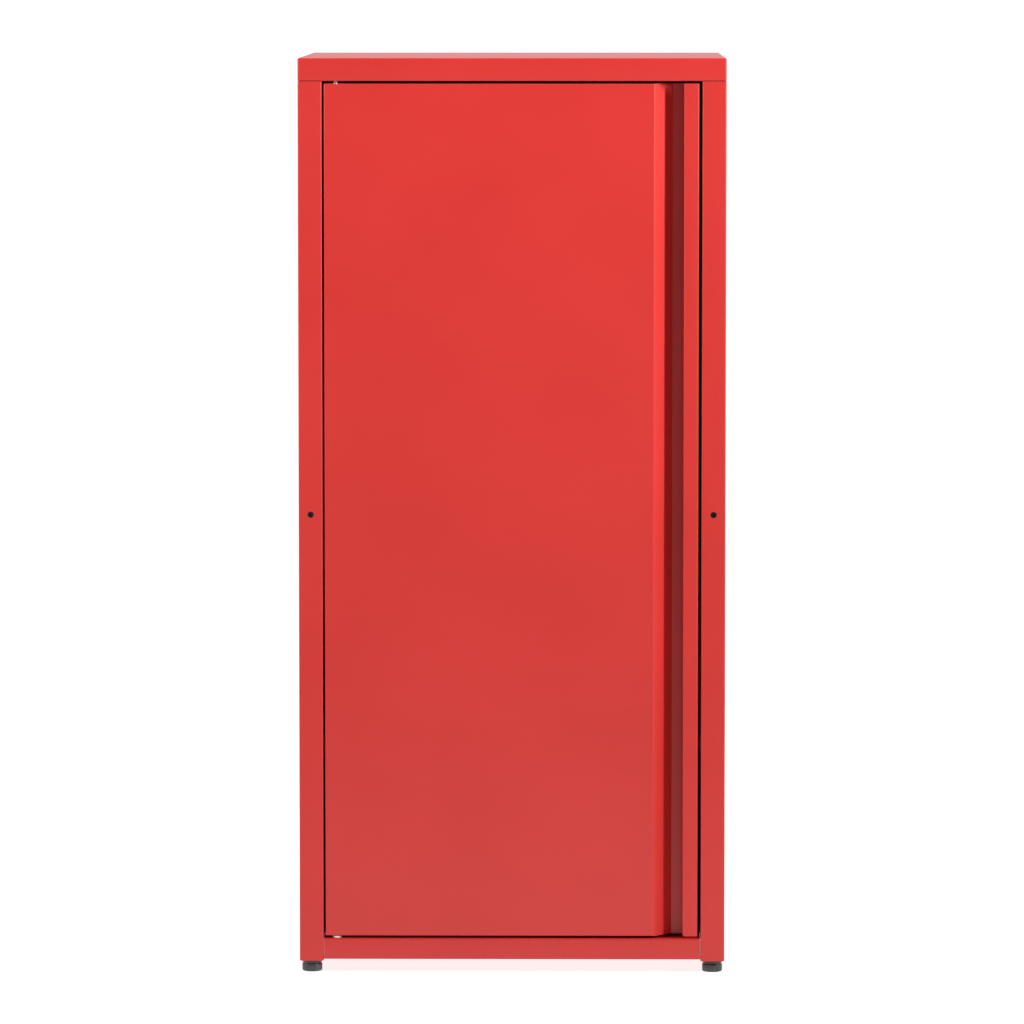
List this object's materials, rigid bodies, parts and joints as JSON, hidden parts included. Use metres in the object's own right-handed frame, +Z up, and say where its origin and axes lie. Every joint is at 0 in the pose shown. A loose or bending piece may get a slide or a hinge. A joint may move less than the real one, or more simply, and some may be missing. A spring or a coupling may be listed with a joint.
{
  "type": "single-door steel storage cabinet",
  "caption": "Tall narrow steel cabinet with a full-height finger-pull door on pin hinges, an inner shelf, a magnetic catch and height-adjustable feet.",
  "frame": {"origin": "on the floor, under the middle of the cabinet", "axes": "+Z up, front of the cabinet faces -Y, +X to the right of someone facing the front"},
  "size_m": [0.4, 0.35, 0.86],
  "materials": {
    "red_powder_coat": "satin powder coat",
    "zinc_plate": "bright zinc plate",
    "white_nylon": "natural nylon, satin",
    "black_plastic": "black moulded plastic, matte",
    "magnet_ferrite": "sintered ferrite, dull",
    "pale_rubber": "pale soft rubber, matte",
    "black_foot_plastic": "black moulded plastic, satin"
  },
  "bodies": {
    "case": {"top_panel": "red_powder_coat", "left_side_panel": "red_powder_coat", "right_side_panel": "red_powder_coat", "back_panel": "red_powder_coat", "base_panel": "red_powder_coat", "upper_hinge_plate": "zinc_plate", "lower_hinge_plate": "zinc_plate", "upper_hinge_bush": "white_nylon", "lower_hinge_pin": "zinc_plate", "lower_hinge_washer": "white_nylon", "spare_hinge_plugs": "white_nylon", "catch_housing": "black_plastic", "catch_magnet": "magnet_ferrite", "catch_pole_plates": "zinc_plate", "catch_screws": "zinc_plate", "door_stop_brackets": "red_powder_coat", "door_stop_rivets": "zinc_plate", "door_bumpers": "pale_rubber", "post_hole_plugs": "black_plastic", "shelf_pegs": "black_plastic", "foot_inserts": "black_plastic", "top_screws": "zinc_plate", "base_screws": "zinc_plate", "back_screws": "zinc_plate"},
    "door": {"door_skin": "red_powder_coat", "door_stiffener": "red_powder_coat", "upper_door_plate": "zinc_plate", "lower_door_plate": "zinc_plate", "upper_hinge_pin": "zinc_plate", "lower_hinge_bush": "white_nylon", "strike_plate": "zinc_plate", "strike_rivets": "zinc_plate"},
    "shelf": {"shelf": "red_powder_coat"},
    "front_left_foot": {"front_left_foot_pad": "black_foot_plastic", "front_left_foot_stud": "zinc_plate"},
    "front_right_foot": {"front_right_foot_pad": "black_foot_plastic", "front_right_foot_stud": "zinc_plate"},
    "rear_left_foot": {"rear_left_foot_pad": "black_foot_plastic", "rear_left_foot_stud": "zinc_plate"},
    "rear_right_foot": {"rear_right_foot_pad": "black_foot_plastic", "rear_right_foot_stud": "zinc_plate"}
  },
  "joints": [
    {"name": "door_hinge", "type": "hinge", "parent": "case", "child": "door", "pos_m": [-0.1648, -0.1695, 0.434], "axis": [0, 0, -1], "range_deg": [0, 120]},
    {"name": "shelf_lift", "type": "slide", "parent": "case", "child": "shelf", "axis": [0, 0, 1], "range_m": [0, 0.04]},
    {"name": "front_left_foot_height", "type": "slide", "parent": "case", "child": "front_left_foot", "axis": [0, 0, -1], "range_m": [0, 0.01]},
    {"name": "front_right_foot_height", "type": "slide", "parent": "case", "child": "front_right_foot", "axis": [0, 0, -1], "range_m": [0, 0.01]},
    {"name": "rear_left_foot_height", "type": "slide", "parent": "case", "child": "rear_left_foot", "axis": [0, 0, -1], "range_m": [0, 0.01]},
    {"name": "rear_right_foot_height", "type": "slide", "parent": "case", "child": "rear_right_foot", "axis": [0, 0, -1], "range_m": [0, 0.01]}
  ]
}
